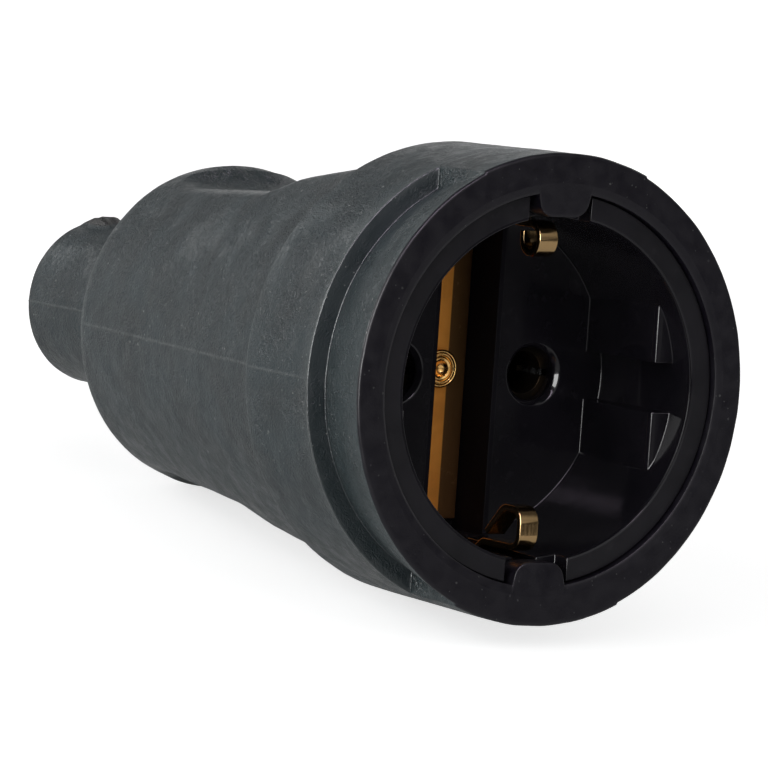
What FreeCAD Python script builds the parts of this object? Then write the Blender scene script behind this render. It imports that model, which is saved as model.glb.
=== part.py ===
import FreeCAD, Part
import math
import os
import Sketcher

# Inline socket connector: a rubber shell around a two-pole socket insert with earth clips.
# Lengths are millimetres. The origin is the centre of the mating face, +X is to the right
# of someone who looks into the socket, and the connector's axis runs back along +Y.
# It lies on its collar and on the rear rim of its body, so the axis dips towards the rear
# by the angle between those two rims. Each piece is drawn level and then set at that dip.

SIZES = {
    # rubber shell, outside
    "collar_front_radius": 27.1,
    "collar_taper": 0.6,
    "collar_length": 24.0,
    "collar_step": 1.2,
    "body_rear_radius": 19.3,
    "body_end": 73.3,
    "tail_root_radius": 10.4,
    "tail_end_radius": 10.1,
    "shell_length": 101.6,
    "rim_round": 0.8,
    # hollows for the grip in the sides of the collar
    "side_grip_length": 9.7,
    "side_grip_step": 2.35,
    "side_grip_front_relief": 0.8,
    "pad_half_width": 11.1,
    # thumb scoops above and below the body
    "scoop_top_start": 27.5,
    "scoop_floor_start": 42.5,
    "scoop_floor_end": 66.0,
    "scoop_front_height": 18.5,
    "scoop_rear_height": 17.1,
    "scoop_wall_low_run": 2.5,
    "scoop_wall_low_rise": 0.7,
    "scoop_wall_high_run": 3.8,
    "scoop_wall_high_rise": 2.0,
    "scoop_end_run": 4.5,
    "scoop_end_rise": 4.0,
    # nub that the moulding gate left on the tail
    "nub_length": 6.0,
    "nub_width": 3.2,
    "nub_height": 1.0,
    "nub_crest_back": 1.8,
    "nub_end_drop": 0.4,
    "nub_end_margin": 0.4,
    # rubber shell, inside
    "mouth_wall": 4.55,
    "insert_gap": 0.15,
    "flange_gap": 0.15,
    "face_step": 0.25,
    "face_step_width": 1.05,
    "chamber_half_width": 14.6,
    "chamber_half_height": 13.4,
    "chamber_corner": 6.0,
    "tongue_end_gap": 0.5,
    "throat_radius": 12.0,
    "throat_length": 9.0,
    "cable_bore_radius": 5.5,
    # rubber lugs that key the insert
    "lug_half_width": 3.4,
    "lug_reach": 2.85,
    "lug_front": 0.5,
    "lug_thickness": 2.5,
    "lug_corner": 1.2,
    "lug_root_depth": 0.6,
    # socket insert
    "insert_front": 0.9,
    "ring_width": 2.76,
    "ring_thickness": 2.5,
    "flange_height": 0.9,
    "flange_thickness": 3.0,
    "insert_inset": 0.8,
    "insert_rear": 28.0,
    "well_draft": 0.59,
    "well_depth": 17.3,
    "floor_thickness": 2.0,
    "key_slot_half_width": 4.2,
    "rib_depth": 2.3,
    "rib_inner_height": 2.85,
    "rib_end_margin": 0.43,
    "rib_front": 4.2,
    "rib_front_round": 0.8,
    "slot_half_width": 3.95,
    "slot_end_gap": 0.15,
    "slot_floor": 24.8,
    "pin_spacing": 19.0,
    "pin_hole_radius": 3.1,
    "pin_countersink_radius": 3.7,
    "contact_chamber_radius": 4.7,
    "earth_recess_half_width": 4.3,
    "earth_recess_bottom": 4.5,
    "earth_recess_top": 10.4,
    "earth_web": 1.7,
    # folded earth strip
    "strip_thickness": 0.8,
    "strip_half_width": 3.85,
    "strip_end_gap": 1.3,
    "arm_half_width": 1.25,
    "arm_inset": 0.31,
    "arm_bend_radius": 1.4,
    "arm_side_gap": 0.35,
    "clip_nose": 3.2,
    "clip_leg_drop": 1.45,
    "clip_bend_radius": 1.6,
    "upper_clip_reach": 3.3,
    "upper_clip_back": 7.9,
    "upper_ramp_start": 3.2,
    "upper_ramp_end": 0.8,
    "upper_tip_drop": 1.3,
    "upper_tip_bend_radius": 1.2,
    "lower_clip_reach": 4.4,
    "lower_clip_back": 9.8,
    "lower_ramp_start": 2.6,
    "lower_ramp_end": 0.7,
    "lower_tip_drop": 1.2,
    "lower_nose_length": 3.4,
    # rivet in the middle of the strip
    "rivet_head_radius": 2.25,
    "rivet_head_height": 0.9,
    "rivet_edge": 0.35,
    "rivet_shank_radius": 1.5,
    "rivet_dimple_radius": 1.0,
    "rivet_dimple_depth": 0.7,
    "rivet_flare_radius": 2.2,
    "rivet_flare_height": 0.7,
    # earth terminal
    "earth_foot_thickness": 1.3,
    "earth_foot_half_width": 3.4,
    "earth_foot_bottom": 3.5,
    "earth_block_bottom": 3.5,
    "earth_block_top": 9.0,
    "earth_block_end": 38.5,
    "earth_wire_height": 5.9,
    "earth_screw_place": 34.6,
    # pin contacts
    "contact_bore_radius": 2.45,
    "contact_wall": 1.05,
    "contact_front_gap": 0.2,
    "contact_bore_end": 38.0,
    "contact_slit": 0.8,
    "contact_slit_land": 1.0,
    "contact_collar_radius": 4.4,
    "contact_collar_thickness": 1.5,
    "terminal_block_half_width": 3.6,
    "terminal_block_half_height": 3.9,
    "terminal_block_length": 8.0,
    "wire_hole_radius": 1.6,
    "wire_hole_depth": 6.5,
    "line_screw_inset": 3.6,
    "spring_thickness": 0.6,
    "spring_width": 3.0,
    "spring_place": 22.6,
    "spring_opening": 60.0,
    # screws
    "terminal_screw_radius": 1.45,
    "terminal_screw_head_radius": 2.4,
    "terminal_screw_head_height": 1.8,
    "terminal_screw_standoff": 0.5,
    "screw_slot_width": 0.6,
    "screw_slot_depth": 0.8,
    "screw_edge": 0.3,
    "screw_tip": 0.4,
    "washer_radius": 2.6,
    "washer_thickness": 0.5,
    "thread_gap": 0.03,
    "hole_gap": 0.2,
    "cover_screw_across": 10.6,
    "cover_screw_up": 9.2,
    "cover_screw_radius": 1.3,
    "cover_screw_tip_radius": 0.8,
    "cover_screw_head_radius": 2.3,
    "cover_screw_head_height": 1.7,
    "cover_screw_dome_height": 0.5,
    "cover_screw_dome_inset": 0.7,
    "cover_screw_length": 7.0,
    "cross_recess_reach": 1.4,
    # cover behind the insert, with the tongue that carries the cord grip
    "cover_thickness": 3.0,
    "cover_side_gap": 0.3,
    "cover_opening_gap": 0.4,
    "tongue_half_width": 7.8,
    "tongue_bottom": 12.0,
    "tongue_thickness": 2.8,
    "tongue_end": 61.5,
    "grip_place": 56.0,
    "grip_half_length": 3.0,
    "grip_screw_across": 9.2,
    "grip_pad_half_width": 11.8,
    "grip_pad_half_length": 3.9,
    "grip_saddle_height": 5.0,
    "grip_saddle_half_width": 5.6,
    "grip_saddle_crown": 2.8,
    "grip_saddle_slope": 1.2,
    "grip_post_radius": 2.4,
    "grip_post_top": 1.5,
    # bridge, screws and nuts of the cord grip
    "bridge_gap": 0.3,
    "bridge_foot_thickness": 2.5,
    "bridge_span": 5.0,
    "bridge_crown": 3.0,
    "bridge_knee": 3.3,
    "bridge_rise": 4.8,
    "bridge_wall": 1.8,
    "grip_screw_radius": 1.4,
    "grip_screw_head_radius": 2.2,
    "grip_screw_head_height": 1.8,
    "nut_width": 5.0,
    "nut_thickness": 1.8,
    "nut_gap": 0.1,
    # how far a cut or a root runs past the surface that it meets
    "overrun": 1.0,
}

# Lengths and volumes that differ by less than this count as equal
NEAR = 1e-3


class Size:
    """A size as a number, together with the sheet formula that it comes from."""

    def __init__(self, number, formula):
        self.number = float(number)
        self.formula = formula

    def __float__(self):
        return self.number

    def __add__(self, other):
        return Size(self.number + float(other), joined(self, "+", other))

    def __radd__(self, other):
        return Size(float(other) + self.number, joined(other, "+", self))

    def __sub__(self, other):
        return Size(self.number - float(other), joined(self, "-", other))

    def __rsub__(self, other):
        return Size(float(other) - self.number, joined(other, "-", self))

    def __mul__(self, other):
        return Size(self.number * float(other), joined(self, "*", other))

    __rmul__ = __mul__

    def __truediv__(self, other):
        return Size(self.number / float(other), joined(self, "/", other))

    def __neg__(self):
        return Size(-self.number, "(-1 * %s)" % self.formula)


def text(value):
    return value.formula if isinstance(value, Size) else "%g" % value


def joined(first, sign, second):
    return "(%s %s %s)" % (text(first), sign, text(second))


def root(size):
    return Size(math.sqrt(size.number), "sqrt(%s)" % size.formula)


def arctangent(size):
    return Size(math.degrees(math.atan(size.number)), "atan(%s)" % size.formula)


def cosine(angle):
    return Size(math.cos(math.radians(angle.number)), "cos(%s)" % angle.formula)


def sine(angle):
    return Size(math.sin(math.radians(angle.number)), "sin(%s)" % angle.formula)


doc = FreeCAD.newDocument("connector")
sheet = doc.addObject("Spreadsheet::Sheet", "Sizes")
for row, (word, number) in enumerate(SIZES.items(), start=1):
    sheet.set("A%d" % row, word)
    sheet.set("B%d" % row, str(number))
    sheet.setAlias("B%d" % row, word)
doc.recompute()


class Sheet:
    """Reads the sheet's cells by their aliases, as sizes."""

    def __getattr__(self, word):
        return Size(sheet.get(word), "Sizes." + word)


s = Sheet()
sub_parts = []

# Radii and heights that follow from the collar, each by its own wall or clearance
collar_rear_radius = s.collar_front_radius - s.collar_taper
body_front_radius = collar_rear_radius - s.collar_step
mouth_radius = s.collar_front_radius - s.mouth_wall
ring_radius = mouth_radius - s.insert_gap
flange_radius = ring_radius + s.flange_height
insert_radius = ring_radius - s.insert_inset
well_rim_radius = ring_radius - s.ring_width
well_floor_radius = well_rim_radius - s.well_draft
rib_face = well_floor_radius - s.rib_depth
rib_meets_wall = root(well_floor_radius * well_floor_radius - rib_face * rib_face)
rib_outer_height = rib_meets_wall + s.rib_end_margin
slot_half_height = well_floor_radius - s.slot_end_gap
strip_half_length = slot_half_height - s.strip_end_gap
arm_height = well_rim_radius + s.arm_inset
clip_leg_height = arm_height - s.clip_leg_drop
upper_clip_height = clip_leg_height - s.upper_clip_reach
lower_clip_height = clip_leg_height - s.lower_clip_reach

# Places that several pieces share
ring_back = s.insert_front + s.ring_thickness
flange_back = ring_back + s.flange_thickness
well_floor = s.insert_front + s.well_depth
chamber_front = well_floor + s.floor_thickness
half_pins = s.pin_spacing / 2
strip_face = s.slot_floor - s.strip_thickness
strip_middle = s.slot_floor - s.strip_thickness / 2
earth_recess_floor = s.slot_floor + s.earth_web
cover_back = s.insert_rear + s.cover_thickness
contact_radius = s.contact_bore_radius + s.contact_wall
line_block_start = s.contact_bore_end
line_block_end = line_block_start + s.terminal_block_length
line_screw_place = line_block_end - s.line_screw_inset
tongue_top = s.tongue_bottom - s.tongue_thickness
chamber_end = s.tongue_end + s.tongue_end_gap
lying_angle = arctangent(
    (collar_rear_radius - s.body_rear_radius) / (s.body_end - s.collar_length)
)


def bind(item, path, size):
    """Tie a property to its formula in the sheet, or set a plain number."""
    if isinstance(size, Size):
        item.setExpression(path, size.formula)
    elif size != 0:
        item.setExpression(path, "%g" % size)


def settle(item, across=0, along=0, up=0):
    """Give a finished sub-part its place in the connector as it lies."""
    item.Placement = FreeCAD.Placement(
        FreeCAD.Vector(), FreeCAD.Rotation(FreeCAD.Vector(-1, 0, 0), float(lying_angle))
    )
    bind(item, "Placement.Rotation.Angle", lying_angle)
    bind(item, "Placement.Base.x", across)
    if along != 0 or up != 0:
        bind(item, "Placement.Base.y", along * cosine(lying_angle) + up * sine(lying_angle))
        bind(item, "Placement.Base.z", up * cosine(lying_angle) - along * sine(lying_angle))
    sub_parts.append(item)


def new_body(name):
    body = doc.addObject("PartDesign::Body", name)
    body.Label = name
    return body


def new_sketch(body, name, role, offset=0):
    """A sketch on one of the body's own planes, moved along that plane's normal."""
    sketch = body.newObject("Sketcher::SketchObject", "%s_%s" % (body.Label, name))
    plane = next(item for item in body.Origin.OriginFeatures if item.Role == role)
    sketch.AttachmentSupport = [(plane, "")]
    sketch.MapMode = "FlatFace"
    bind(sketch, "AttachmentOffset.Base.z", offset)
    return sketch


def fix_point(sketch, geometry, point, across, up):
    """Dimension a sketch point from the sketch's origin, or lay it on an axis."""
    for kind, axis, size in (("DistanceX", -2, across), ("DistanceY", -1, up)):
        if float(size) == 0:
            sketch.addConstraint(Sketcher.Constraint("PointOnObject", geometry, point, axis))
            continue
        ends = (-1, 1, geometry, point)
        if float(size) < 0:
            ends = (geometry, point, -1, 1)
            size = -size
        index = sketch.addConstraint(Sketcher.Constraint(kind, *ends, float(size)))
        bind(sketch, "Constraints[%d]" % index, size)


def draw_polygon(sketch, points):
    """Closed straight outline, every corner dimensioned."""
    corners = [FreeCAD.Vector(float(across), float(up), 0) for across, up in points]
    lines = []
    for start, end in zip(corners, corners[1:] + corners[:1]):
        lines.append(sketch.addGeometry(Part.LineSegment(start, end), False))
    for line, following in zip(lines, lines[1:] + lines[:1]):
        sketch.addConstraint(Sketcher.Constraint("Coincident", line, 2, following, 1))
    for line, (across, up) in zip(lines, points):
        fix_point(sketch, line, 1, across, up)


def draw_circle(sketch, across, up, radius):
    centre = FreeCAD.Vector(float(across), float(up), 0)
    circle = sketch.addGeometry(
        Part.Circle(centre, FreeCAD.Vector(0, 0, 1), float(radius)), False
    )
    fix_point(sketch, circle, 3, across, up)
    index = sketch.addConstraint(Sketcher.Constraint("Radius", circle, float(radius)))
    bind(sketch, "Constraints[%d]" % index, radius)


def polygon(*points):
    return lambda sketch: draw_polygon(sketch, points)


def rectangle(left, bottom, right, top):
    return polygon((left, bottom), (right, bottom), (right, top), (left, top))


def circle(across, up, radius):
    return lambda sketch: draw_circle(sketch, across, up, radius)


def add_feature(body, kind, name, sketch):
    """Append a feature, and tell the body's volume before it."""
    before = body.Shape.Volume if body.Tip else 0.0
    feature = body.newObject(kind, "%s_%s" % (body.Label, name))
    feature.Profile = sketch
    return feature, before


def prove(body, feature, before, cuts):
    """Recompute, and see that a feature removed material if it cuts, or else added some."""
    doc.recompute()
    change = body.Shape.Volume - before
    if (-change if cuts else change) < NEAR:
        raise ValueError("%s changed the volume by %g" % (feature.Name, change))


def turn(body, name, points, cuts=False, axis="H_Axis"):
    """Turn an outline of (along, radius) points about the connector's axis."""
    sketch = new_sketch(body, name + "_outline", "YZ_Plane")
    draw_polygon(sketch, points)
    kind = "PartDesign::Groove" if cuts else "PartDesign::Revolution"
    feature, before = add_feature(body, kind, name, sketch)
    feature.ReferenceAxis = (sketch, [axis])
    feature.Angle = 360
    prove(body, feature, before, cuts)


def extrude(body, name, outlines, plane, offset, length, reverse, both_ways, cuts):
    sketch = new_sketch(body, name + "_outline", plane, offset)
    for outline in outlines:
        outline(sketch)
    kind = "PartDesign::Pocket" if cuts else "PartDesign::Pad"
    feature, before = add_feature(body, kind, name, sketch)
    feature.SideType = "Symmetric" if both_ways else "One side"
    feature.Reversed = reverse
    bind(feature, "Length", length)
    prove(body, feature, before, cuts)


def along_axis(body, name, outlines, start, length, cuts=False):
    """Extrude (x, z) outlines towards the rear from a distance behind the face."""
    extrude(body, name, outlines, "XZ_Plane", -start, length, not cuts, False, cuts)


def upwards(body, name, outlines, start, length, cuts=False):
    """Extrude (x, y) outlines upwards from a height."""
    extrude(body, name, outlines, "XY_Plane", start, length, cuts, False, cuts)


def across(body, name, outlines, width, cuts=False):
    """Extrude (y, z) outlines equally to the left and right of the middle."""
    extrude(body, name, outlines, "YZ_Plane", 0, width, False, True, cuts)


def dress_edges(body, name, wanted, size, kind="Fillet", path="Radius"):
    """Round or bevel the edges of the body so far that pass a test."""
    base = body.Tip
    names = ["Edge%d" % n for n, edge in enumerate(base.Shape.Edges, 1) if wanted(edge)]
    if not names:
        raise ValueError("%s found no edge" % name)
    before = body.Shape.Volume
    feature = body.newObject("PartDesign::" + kind, "%s_%s" % (body.Label, name))
    feature.Base = (base, names)
    bind(feature, path, size)
    doc.recompute()
    if not 0.9 < body.Shape.Volume / before < 1.1:
        raise ValueError("%s spoilt the solid" % feature.Name)


def is_ring(edge, along, radius, across=0):
    """True for an arc about a line that runs front to back, at a place along that line."""
    curve = edge.Curve
    if not isinstance(curve, Part.Circle):
        return False
    centre = curve.Center
    off = abs(centre.x - float(across)) + abs(centre.y - float(along)) + abs(centre.z)
    return off < NEAR and abs(curve.Radius - float(radius)) < NEAR


def runs_along(edge, across, up):
    """True for a straight edge that runs front to back at a place."""
    box = edge.BoundBox
    if box.XLength > NEAR or box.ZLength > NEAR:
        return False
    return abs(box.Center.x - float(across)) + abs(box.Center.z - float(up)) < NEAR


def collar_radius(along):
    return s.collar_front_radius - s.collar_taper * (along / s.collar_length)


def shell_form():
    """Rubber moulding without the side grips: collar, body, tail, lugs and cavity."""
    body = new_body("shell_form")
    turn(
        body,
        "outside",
        [
            (0, 0),
            (s.shell_length, 0),
            (s.shell_length, s.tail_end_radius),
            (s.body_end, s.tail_root_radius),
            (s.body_end, s.body_rear_radius),
            (s.collar_length, body_front_radius),
            (s.collar_length, collar_rear_radius),
            (0, s.collar_front_radius),
        ],
    )
    rims = [
        (s.collar_length, collar_rear_radius),
        (s.body_end, s.body_rear_radius),
    ]
    dress_edges(
        body, "rims", lambda edge: any(is_ring(edge, *rim) for rim in rims), s.rim_round
    )
    crest = collar_rear_radius
    floor_end, floor_height = s.scoop_floor_end, s.scoop_rear_height
    scoop_end = floor_end + s.scoop_end_run
    for name, side in (("upper_scoop", 1), ("lower_scoop", -1)):
        outline = polygon(
            (s.scoop_top_start, side * crest),
            (s.scoop_floor_start, side * s.scoop_front_height),
            (floor_end, side * floor_height),
            (floor_end + s.scoop_wall_low_run, side * (floor_height + s.scoop_wall_low_rise)),
            (floor_end + s.scoop_wall_high_run, side * (floor_height + s.scoop_wall_high_rise)),
            (scoop_end, side * (floor_height + s.scoop_end_rise)),
            (scoop_end, side * crest),
        )
        across(body, name, [outline], collar_rear_radius * 2, cuts=True)
    groove = flange_radius + s.flange_gap
    bore = insert_radius + s.insert_gap
    seat_front = ring_back - s.flange_gap
    seat_back = flange_back + s.flange_gap
    pocket_end = s.insert_rear + s.cover_side_gap
    turn(
        body,
        "insert_seat",
        [
            (0, 0),
            (pocket_end, 0),
            (pocket_end, bore),
            (seat_back, bore),
            (seat_back, groove),
            (seat_front, groove),
            (seat_front, mouth_radius),
            (s.face_step, mouth_radius),
            (0, mouth_radius + s.face_step_width),
        ],
        cuts=True,
    )
    half_wide, half_high = s.chamber_half_width, s.chamber_half_height
    along_axis(
        body,
        "rear_chamber",
        [rectangle(-half_wide, -half_high, half_wide, half_high)],
        pocket_end,
        chamber_end - pocket_end,
        cuts=True,
    )
    corners = [(i * half_wide, k * half_high) for i in (1, -1) for k in (1, -1)]
    dress_edges(
        body,
        "chamber_corners",
        lambda edge: any(runs_along(edge, *place) for place in corners),
        s.chamber_corner,
    )
    throat_end = chamber_end + s.throat_length
    turn(
        body,
        "cable_entry",
        [
            (chamber_end, 0),
            (s.shell_length, 0),
            (s.shell_length, s.cable_bore_radius),
            (throat_end, s.cable_bore_radius),
            (chamber_end, s.throat_radius),
        ],
        cuts=True,
    )
    lug_root, lug_tip = mouth_radius + s.lug_root_depth, mouth_radius - s.lug_reach
    for name, side in (("upper_lug", 1), ("lower_lug", -1)):
        half = s.lug_half_width
        low, high = side * lug_tip, side * lug_root
        along_axis(
            body, name, [rectangle(-half, low, half, high)], s.lug_front, s.lug_thickness
        )
    places = [(i * s.lug_half_width, k * lug_tip) for i in (1, -1) for k in (1, -1)]
    dress_edges(
        body,
        "lug_corners",
        lambda edge: any(runs_along(edge, *place) for place in places),
        s.lug_corner,
    )
    nub_end = s.shell_length - s.nub_end_margin
    nub_root = s.tail_end_radius - s.overrun
    nub_top = s.tail_end_radius + s.nub_height
    nub = polygon(
        (nub_end - s.nub_length, nub_root),
        (nub_end, nub_root),
        (nub_end, nub_top - s.nub_end_drop),
        (nub_end - s.nub_crest_back, nub_top),
    )
    across(body, "tail_nub", [nub], s.nub_width)
    return body


def rubber_housing():
    """The shell with the hollow for the grip cut into each side of its collar."""
    shell = shell_form()
    onto_axis = FreeCAD.Rotation(FreeCAD.Vector(1, 0, 0), -90)
    seam_up = FreeCAD.Rotation(FreeCAD.Vector(1, 1, 1), -120)
    front = doc.addObject("Part::Ellipse", "grip_front")
    front.Placement = FreeCAD.Placement(FreeCAD.Vector(), seam_up)
    bind(front, "MajorRadius", s.collar_front_radius)
    bind(front, "MinorRadius", s.collar_front_radius - s.side_grip_front_relief)
    back = doc.addObject("Part::Circle", "grip_back")
    back.Placement = FreeCAD.Placement(FreeCAD.Vector(), seam_up)
    bind(back, "Placement.Base.y", s.side_grip_length)
    bind(back, "Radius", collar_radius(s.side_grip_length) - s.side_grip_step)
    kept = doc.addObject("Part::Loft", "grip_floor")
    kept.Sections = [front, back]
    kept.Solid = True
    kept.Ruled = True
    around = doc.addObject("Part::Cylinder", "grip_blank")
    around.Placement = FreeCAD.Placement(FreeCAD.Vector(), onto_axis)
    bind(around, "Radius", s.collar_front_radius + s.side_grip_step)
    bind(around, "Height", s.side_grip_length)
    band = doc.addObject("Part::Cut", "grip_band")
    band.Base = around
    band.Tool = kept
    pads = doc.addObject("Part::Box", "pad_block")
    reach = s.collar_front_radius + s.side_grip_step
    bind(pads, "Length", s.pad_half_width * 2)
    bind(pads, "Width", s.side_grip_length)
    bind(pads, "Height", reach * 2)
    bind(pads, "Placement.Base.x", -s.pad_half_width)
    bind(pads, "Placement.Base.z", -reach)
    sides = doc.addObject("Part::Cut", "side_grips")
    sides.Base = band
    sides.Tool = pads
    housing = doc.addObject("Part::Cut", "rubber_housing")
    housing.Base = shell
    housing.Tool = sides
    settle(housing)


def socket_insert():
    """Plastic moulding with the plug's well, the floor with its slot, and the contact chambers."""
    body = new_body("socket_insert")
    turn(
        body,
        "well",
        [
            (well_floor, 0),
            (s.insert_rear, 0),
            (s.insert_rear, insert_radius),
            (flange_back, insert_radius),
            (flange_back, flange_radius),
            (ring_back, flange_radius),
            (ring_back, ring_radius),
            (s.insert_front, ring_radius),
            (s.insert_front, well_rim_radius),
            (well_floor, well_floor_radius),
        ],
    )
    wall_middle = (well_rim_radius + insert_radius) / 2
    outer_low = root(wall_middle * wall_middle - s.rib_inner_height * s.rib_inner_height)
    outer_high = root(wall_middle * wall_middle - rib_outer_height * rib_outer_height)
    ribs = [
        polygon(
            (i * (rib_face + s.rib_front_round), k * s.rib_inner_height),
            (i * outer_low, k * s.rib_inner_height),
            (i * outer_high, k * rib_outer_height),
            (i * (rib_face + s.rib_front_round), k * rib_outer_height),
        )
        for i in (1, -1)
        for k in (1, -1)
    ]
    rib_root = well_floor + s.overrun
    along_axis(body, "rib_roots", ribs, s.rib_front, rib_root - s.rib_front)
    curve, bulge = s.rib_front_round, s.rib_front_round * (1 - math.sqrt(0.5))
    noses = [
        polygon(
            (i * rib_face, rib_root),
            (i * rib_face, s.rib_front + curve),
            (i * (rib_face + bulge), s.rib_front + bulge),
            (i * (rib_face + curve), s.rib_front),
            (i * outer_high, s.rib_front),
            (i * outer_high, rib_root),
        )
        for i in (1, -1)
    ]
    rib_span = rib_outer_height - s.rib_inner_height
    upwards(body, "upper_rib_faces", noses, s.rib_inner_height, rib_span)
    upwards(body, "lower_rib_faces", noses, -rib_outer_height, rib_span)
    key_half = s.key_slot_half_width
    key_inner, key_outer = well_rim_radius - s.overrun, ring_radius + s.overrun
    keys = [rectangle(-key_half, k * key_inner, key_half, k * key_outer) for k in (1, -1)]
    along_axis(body, "key_slots", keys, s.insert_front, s.ring_thickness, cuts=True)
    slot = [rectangle(-s.slot_half_width, -slot_half_height, s.slot_half_width, slot_half_height)]
    along_axis(body, "floor_slot", slot, well_floor, s.slot_floor - well_floor, cuts=True)
    channel_half = s.arm_half_width + s.arm_side_gap
    channel_top = arm_height + s.strip_thickness / 2 + s.arm_side_gap
    channel_low = slot_half_height - s.overrun
    channels = [
        rectangle(-channel_half, k * channel_low, channel_half, k * channel_top) for k in (1, -1)
    ]
    channel_start = ring_back - s.overrun
    channel_length = s.slot_floor - channel_start
    along_axis(body, "arm_channels", channels, channel_start, channel_length, cuts=True)
    holes = [circle(k * half_pins, 0, s.pin_hole_radius) for k in (1, -1)]
    along_axis(body, "pin_holes", holes, well_floor, s.floor_thickness, cuts=True)
    chambers = [circle(k * half_pins, 0, s.contact_chamber_radius) for k in (1, -1)]
    along_axis(
        body, "contact_chambers", chambers, chamber_front, s.insert_rear - chamber_front, True
    )
    earth_recess = rectangle(
        -s.earth_recess_half_width,
        -s.earth_recess_bottom,
        s.earth_recess_half_width,
        s.earth_recess_top,
    )
    along_axis(
        body, "earth_recess", [earth_recess], earth_recess_floor,
        s.insert_rear - earth_recess_floor, cuts=True,
    )
    rivet_hole = [circle(0, 0, s.rivet_shank_radius + s.thread_gap)]
    along_axis(body, "rivet_hole", rivet_hole, s.slot_floor, s.earth_web, cuts=True)
    screw_depth = s.cover_screw_length - s.cover_thickness + s.hole_gap
    pilots = [
        circle(k * s.cover_screw_across, k * s.cover_screw_up, s.cover_screw_radius + s.thread_gap)
        for k in (1, -1)
    ]
    along_axis(
        body, "cover_screw_holes", pilots, s.insert_rear - screw_depth, screw_depth, cuts=True
    )
    rims = [(well_floor, s.pin_hole_radius, k * half_pins) for k in (1, -1)]
    dress_edges(
        body,
        "pin_countersinks",
        lambda edge: any(is_ring(edge, *rim) for rim in rims),
        s.pin_countersink_radius - s.pin_hole_radius,
        kind="Chamfer",
        path="Size",
    )
    settle(body)


def ribbon_face(points, radii, thickness):
    """Edge view of a folded strip: its middle line's corners, rounded, given a thickness."""
    places = [FreeCAD.Vector(0, float(along), float(up)) for along, up in points]
    facing = FreeCAD.Vector(1, 0, 0)
    sides = {1: [], -1: []}
    bends = []
    for before, corner, after, radius in zip(places, places[1:], places[2:], radii):
        inward = (corner - before).normalize()
        outward = (after - corner).normalize()
        turned = inward.getAngle(outward)
        setback = radius * math.tan(turned / 2)
        left = 1 if facing.dot(inward.cross(outward)) > 0 else -1
        first = corner - inward * setback
        last = corner + outward * setback
        centre = first + facing.cross(inward) * (radius * left)
        middle = centre + (corner - centre).normalize() * radius
        bends.append((first, middle, last, centre, radius))
    starts = [places[0]] + [bend[2] for bend in bends]
    stops = [bend[0] for bend in bends] + [places[-1]]
    for side, edges in sides.items():
        for number, (start, stop) in enumerate(zip(starts, stops)):
            normal = facing.cross((stop - start).normalize()) * (side * thickness / 2)
            edges.append(Part.LineSegment(start + normal, stop + normal).toShape())
            if number < len(bends):
                first, centre, radius = bends[number][0], bends[number][3], bends[number][4]
                outside = 1 if normal.dot(first - centre) > 0 else -1
                scale = (radius + outside * thickness / 2) / radius
                shifted = [centre + (point - centre) * scale for point in bends[number][:3]]
                edges.append(Part.Arc(*shifted).toShape())
    caps = []
    for number in (0, -1):
        caps.append(
            Part.LineSegment(
                sides[1][number].Vertexes[number].Point, sides[-1][number].Vertexes[number].Point
            ).toShape()
        )
    return Part.Face(Part.Wire(Part.__sortEdges__(sides[1] + sides[-1] + caps)))


def earth_strip():
    """One folded brass strip: a broad middle and a sprung clip arm at each end."""
    thickness = float(s.strip_thickness)
    bend = float(s.clip_bend_radius)
    arm_bend = float(s.arm_bend_radius)
    arm, leg, nose = float(arm_height), float(clip_leg_height), float(s.clip_nose)
    upper, upper_back = float(upper_clip_height), float(s.upper_clip_back)
    lower, lower_back = float(lower_clip_height), float(s.lower_clip_back)
    middle = float(strip_middle)
    upper_path = [
        (middle, 0),
        (middle, arm),
        (upper_back + float(s.upper_ramp_start), arm),
        (upper_back + float(s.upper_ramp_end), leg),
        (nose, leg),
        (nose, upper),
        (upper_back, upper),
        (upper_back, leg - float(s.upper_tip_drop)),
    ]
    lower_path = [
        (middle, 0),
        (middle, arm),
        (lower_back + float(s.lower_ramp_start), arm),
        (lower_back + float(s.lower_ramp_end), leg),
        (nose, leg),
        (nose, lower),
        (nose + float(s.lower_nose_length), lower),
        (lower_back, leg - float(s.lower_tip_drop)),
    ]
    tip_bend = float(s.upper_tip_bend_radius)
    upper_radii = [arm_bend, arm_bend, arm_bend, bend, bend, tip_bend]
    lower_radii = [arm_bend, arm_bend, arm_bend, bend, bend, bend]
    width = 2 * float(s.arm_half_width)
    solids = []
    for path, radii, side in ((upper_path, upper_radii, 1), (lower_path, lower_radii, -1)):
        face = ribbon_face([(along, side * up) for along, up in path], radii, thickness)
        face.translate(FreeCAD.Vector(-width / 2, 0, 0))
        solids.append(face.extrude(FreeCAD.Vector(width, 0, 0)))
    half, reach = float(s.strip_half_width), float(strip_half_length)
    plate = Part.makeBox(
        2 * half, thickness, 2 * reach, FreeCAD.Vector(-half, float(strip_face), -reach)
    )
    hole = Part.makeCylinder(
        float(s.rivet_shank_radius + s.thread_gap),
        thickness,
        FreeCAD.Vector(0, float(strip_face), 0),
        FreeCAD.Vector(0, 1, 0),
    )
    strip = doc.addObject("Part::Feature", "earth_strip")
    strip.Shape = plate.fuse(solids).cut(hole).removeSplitter()
    settle(strip)


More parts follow.
